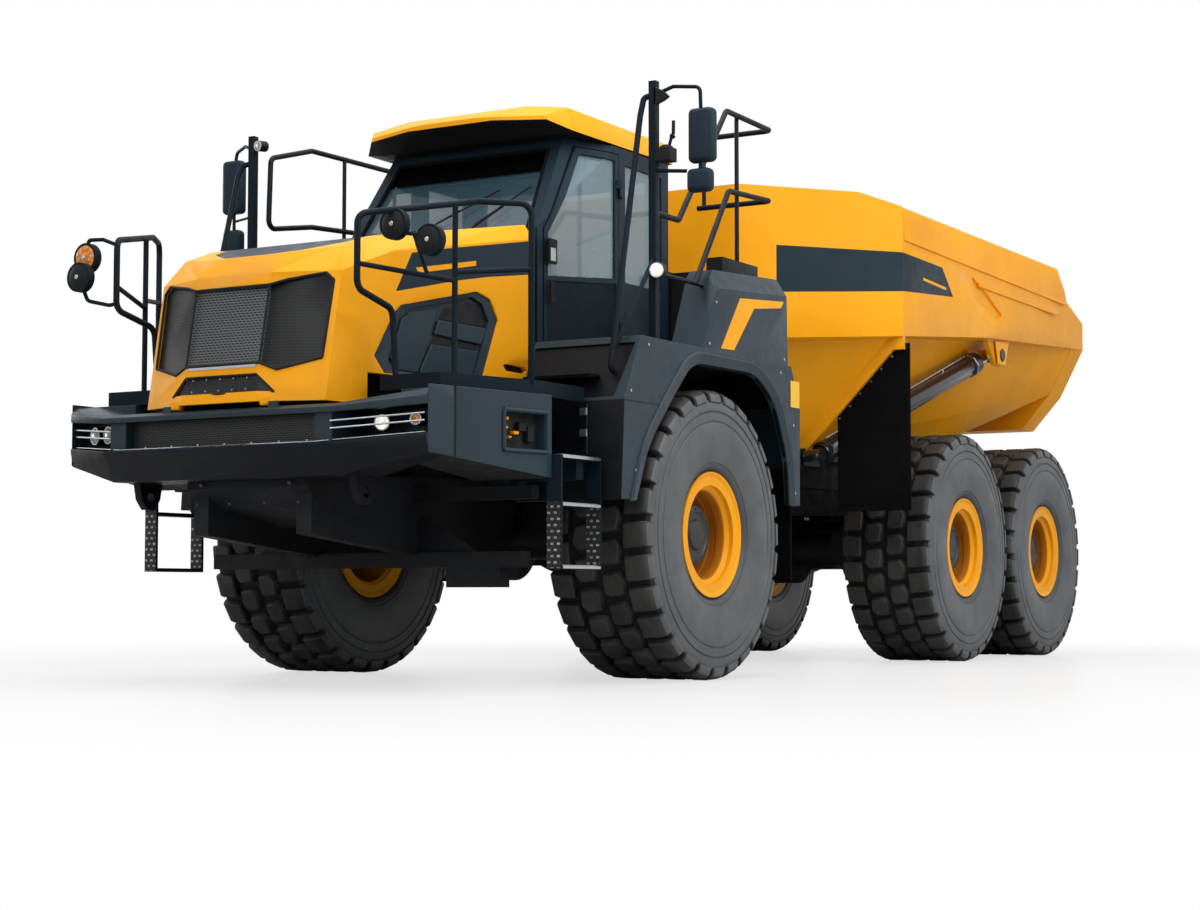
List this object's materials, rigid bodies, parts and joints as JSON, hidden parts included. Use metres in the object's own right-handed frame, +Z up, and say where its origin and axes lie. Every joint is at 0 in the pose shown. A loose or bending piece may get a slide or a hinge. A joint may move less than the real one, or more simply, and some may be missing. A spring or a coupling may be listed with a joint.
{
  "type": "articulated dump truck",
  "caption": "Six-wheel articulated dump truck with a tilting bonnet, central cab, hinged frame and tipping bed.",
  "frame": {"origin": "on the ground under the middle of the truck", "axes": "+Z up, -Y forward, +X to the truck's left side"},
  "size_m": [4.1, 10.8, 3.822],
  "materials": {
    "amber_paint": "gloss",
    "slate_paint": "satin",
    "black_paint": "satin",
    "tyre": "matte",
    "rubber": "matte",
    "glass": "gloss",
    "chrome": "gloss",
    "seat_fabric": "matte",
    "black_plastic": "matte"
  },
  "bodies": {
    "front_unit": {"bumper": "slate_paint", "cab_roof": "amber_paint", "cab_shell": "slate_paint", "dashboard": "black_plastic", "deck_left": "black_paint", "deck_right": "black_paint", "engine_block": "black_paint", "fender_left": "slate_paint", "fender_right": "slate_paint", "front_axle": "black_paint", "front_frame": "black_paint", "locker_left": "slate_paint", "locker_right": "slate_paint", "mirror_post_left": "black_paint", "mirror_post_right": "black_paint", "quarter_window_left": "glass", "quarter_window_right": "glass", "rear_window": "glass", "right_window": "glass", "seat": "seat_fabric", "side_cover_left": "slate_paint", "side_cover_right": "slate_paint", "splash_flap_left": "rubber", "splash_flap_right": "rubber", "windscreen": "glass"},
    "rear_unit": {"bogie": "black_paint", "middle_axle": "black_paint", "rear_axle": "black_paint", "rear_frame": "black_paint"},
    "hitch": {"hitch_yoke": "black_paint"},
    "dump_bed": {"dump_body": "amber_paint", "mud_flap_left": "rubber", "mud_flap_right": "rubber"},
    "front_wheel_left": {"front_tyre_left": "tyre", "front_rim_left": "amber_paint"},
    "front_wheel_right": {"front_tyre_right": "tyre", "front_rim_right": "amber_paint"},
    "middle_wheel_left": {"middle_tyre_left": "tyre", "middle_rim_left": "amber_paint"},
    "middle_wheel_right": {"middle_tyre_right": "tyre", "middle_rim_right": "amber_paint"},
    "rear_wheel_left": {"rear_tyre_left": "tyre", "rear_rim_left": "amber_paint"},
    "rear_wheel_right": {"rear_tyre_right": "tyre", "rear_rim_right": "amber_paint"},
    "hoist_barrel_left": {"hoist_barrel_left": "slate_paint"},
    "hoist_rod_left": {"hoist_rod_left": "chrome"},
    "steer_barrel_left": {"steer_barrel_left": "slate_paint"},
    "steer_rod_left": {"steer_rod_left": "chrome"},
    "hoist_barrel_right": {"hoist_barrel_right": "slate_paint"},
    "hoist_rod_right": {"hoist_rod_right": "chrome"},
    "steer_barrel_right": {"steer_barrel_right": "slate_paint"},
    "steer_rod_right": {"steer_rod_right": "chrome"},
    "door": {"cab_door": "slate_paint", "door_glass": "glass"},
    "hood": {"bonnet": "amber_paint"}
  },
  "joints": [
    {"name": "front_wheel_left_spin", "type": "hinge", "parent": "front_unit", "child": "front_wheel_left", "pos_m": [1.36, -2.5, 0.9375], "axis": [1, 0, 0], "continuous": true},
    {"name": "front_wheel_right_spin", "type": "hinge", "parent": "front_unit", "child": "front_wheel_right", "pos_m": [-1.36, -2.5, 0.9375], "axis": [1, 0, 0], "continuous": true},
    {"name": "middle_wheel_left_spin", "type": "hinge", "parent": "rear_unit", "child": "middle_wheel_left", "pos_m": [1.36, 2, 0.9375], "axis": [1, 0, 0], "continuous": true},
    {"name": "middle_wheel_right_spin", "type": "hinge", "parent": "rear_unit", "child": "middle_wheel_right", "pos_m": [-1.36, 2, 0.9375], "axis": [1, 0, 0], "continuous": true},
    {"name": "rear_wheel_left_spin", "type": "hinge", "parent": "rear_unit", "child": "rear_wheel_left", "pos_m": [1.36, 3.96, 0.9375], "axis": [1, 0, 0], "continuous": true},
    {"name": "rear_wheel_right_spin", "type": "hinge", "parent": "rear_unit", "child": "rear_wheel_right", "pos_m": [-1.36, 3.96, 0.9375], "axis": [1, 0, 0], "continuous": true},
    {"name": "frame_roll", "type": "hinge", "parent": "front_unit", "child": "hitch", "pos_m": [0, -1.48, 1.13], "axis": [0, 1, 0], "range_deg": [-15, 15]},
    {"name": "articulation", "type": "hinge", "parent": "hitch", "child": "rear_unit", "pos_m": [0, -1, 1.13], "axis": [0, 0, 1], "range_deg": [-45, 45]},
    {"name": "bed_tip", "type": "hinge", "parent": "rear_unit", "child": "dump_bed", "pos_m": [0, 4.48, 1.64], "axis": [-1, 0, 0], "range_deg": [0, 70]},
    {"name": "hoist_barrel_left_swing", "type": "hinge", "parent": "rear_unit", "child": "hoist_barrel_left", "pos_m": [1, 0.55, 1.62], "axis": [-0.0419, -0.3779, 0.9249], "range_deg": [0, 5.62]},
    {"name": "hoist_rod_left_slide", "type": "slide", "parent": "hoist_barrel_left", "child": "hoist_rod_left", "axis": [0.2014, 0.9035, 0.3783], "range_m": [0, 2.0684]},
    {"name": "hoist_barrel_right_swing", "type": "hinge", "parent": "rear_unit", "child": "hoist_barrel_right", "pos_m": [-1, 0.55, 1.62], "axis": [-0.0419, 0.3779, -0.9249], "range_deg": [0, 5.62]},
    {"name": "hoist_rod_right_slide", "type": "slide", "parent": "hoist_barrel_right", "child": "hoist_rod_right", "axis": [-0.2014, 0.9035, 0.3783], "range_m": [0, 2.0684]},
    {"name": "steer_barrel_left_swing", "type": "hinge", "parent": "hitch", "child": "steer_barrel_left", "pos_m": [0.351, -1.281, 1.13], "axis": [0, 0, 1], "range_deg": [-37, 37]},
    {"name": "steer_rod_left_slide", "type": "slide", "parent": "steer_barrel_left", "child": "steer_rod_left", "axis": [0.2488, 0.9686, 0], "range_m": [-0.305, 0.305]},
    {"name": "steer_barrel_right_swing", "type": "hinge", "parent": "hitch", "child": "steer_barrel_right", "pos_m": [-0.351, -1.281, 1.13], "axis": [0, 0, 1], "range_deg": [-37, 37]},
    {"name": "steer_rod_right_slide", "type": "slide", "parent": "steer_barrel_right", "child": "steer_rod_right", "axis": [-0.2488, 0.9686, 0], "range_m": [-0.305, 0.305]},
    {"name": "door_hinge", "type": "hinge", "parent": "front_unit", "child": "door", "pos_m": [0.866, -2.252, 2.8], "axis": [0, 0, 1], "range_deg": [0, 45]},
    {"name": "bonnet_tilt", "type": "hinge", "parent": "front_unit", "child": "hood", "pos_m": [0, -5.35, 1.632], "axis": [1, 0, 0], "range_deg": [0, 60]}
  ],
  "couplings": [
    {"joint": "hoist_barrel_left_swing", "follows": "bed_tip", "ratio": 0.073071},
    {"joint": "hoist_rod_left_slide", "follows": "bed_tip", "m_per_rad": 1.6889},
    {"joint": "hoist_barrel_right_swing", "follows": "bed_tip", "ratio": 0.073071},
    {"joint": "hoist_rod_right_slide", "follows": "bed_tip", "m_per_rad": 1.6889},
    {"joint": "steer_barrel_left_swing", "follows": "articulation", "ratio": 0.8},
    {"joint": "steer_rod_left_slide", "follows": "articulation", "m_per_rad": 0.38197},
    {"joint": "steer_barrel_right_swing", "follows": "articulation", "ratio": 0.8},
    {"joint": "steer_rod_right_slide", "follows": "articulation", "m_per_rad": -0.38197}
  ]
}
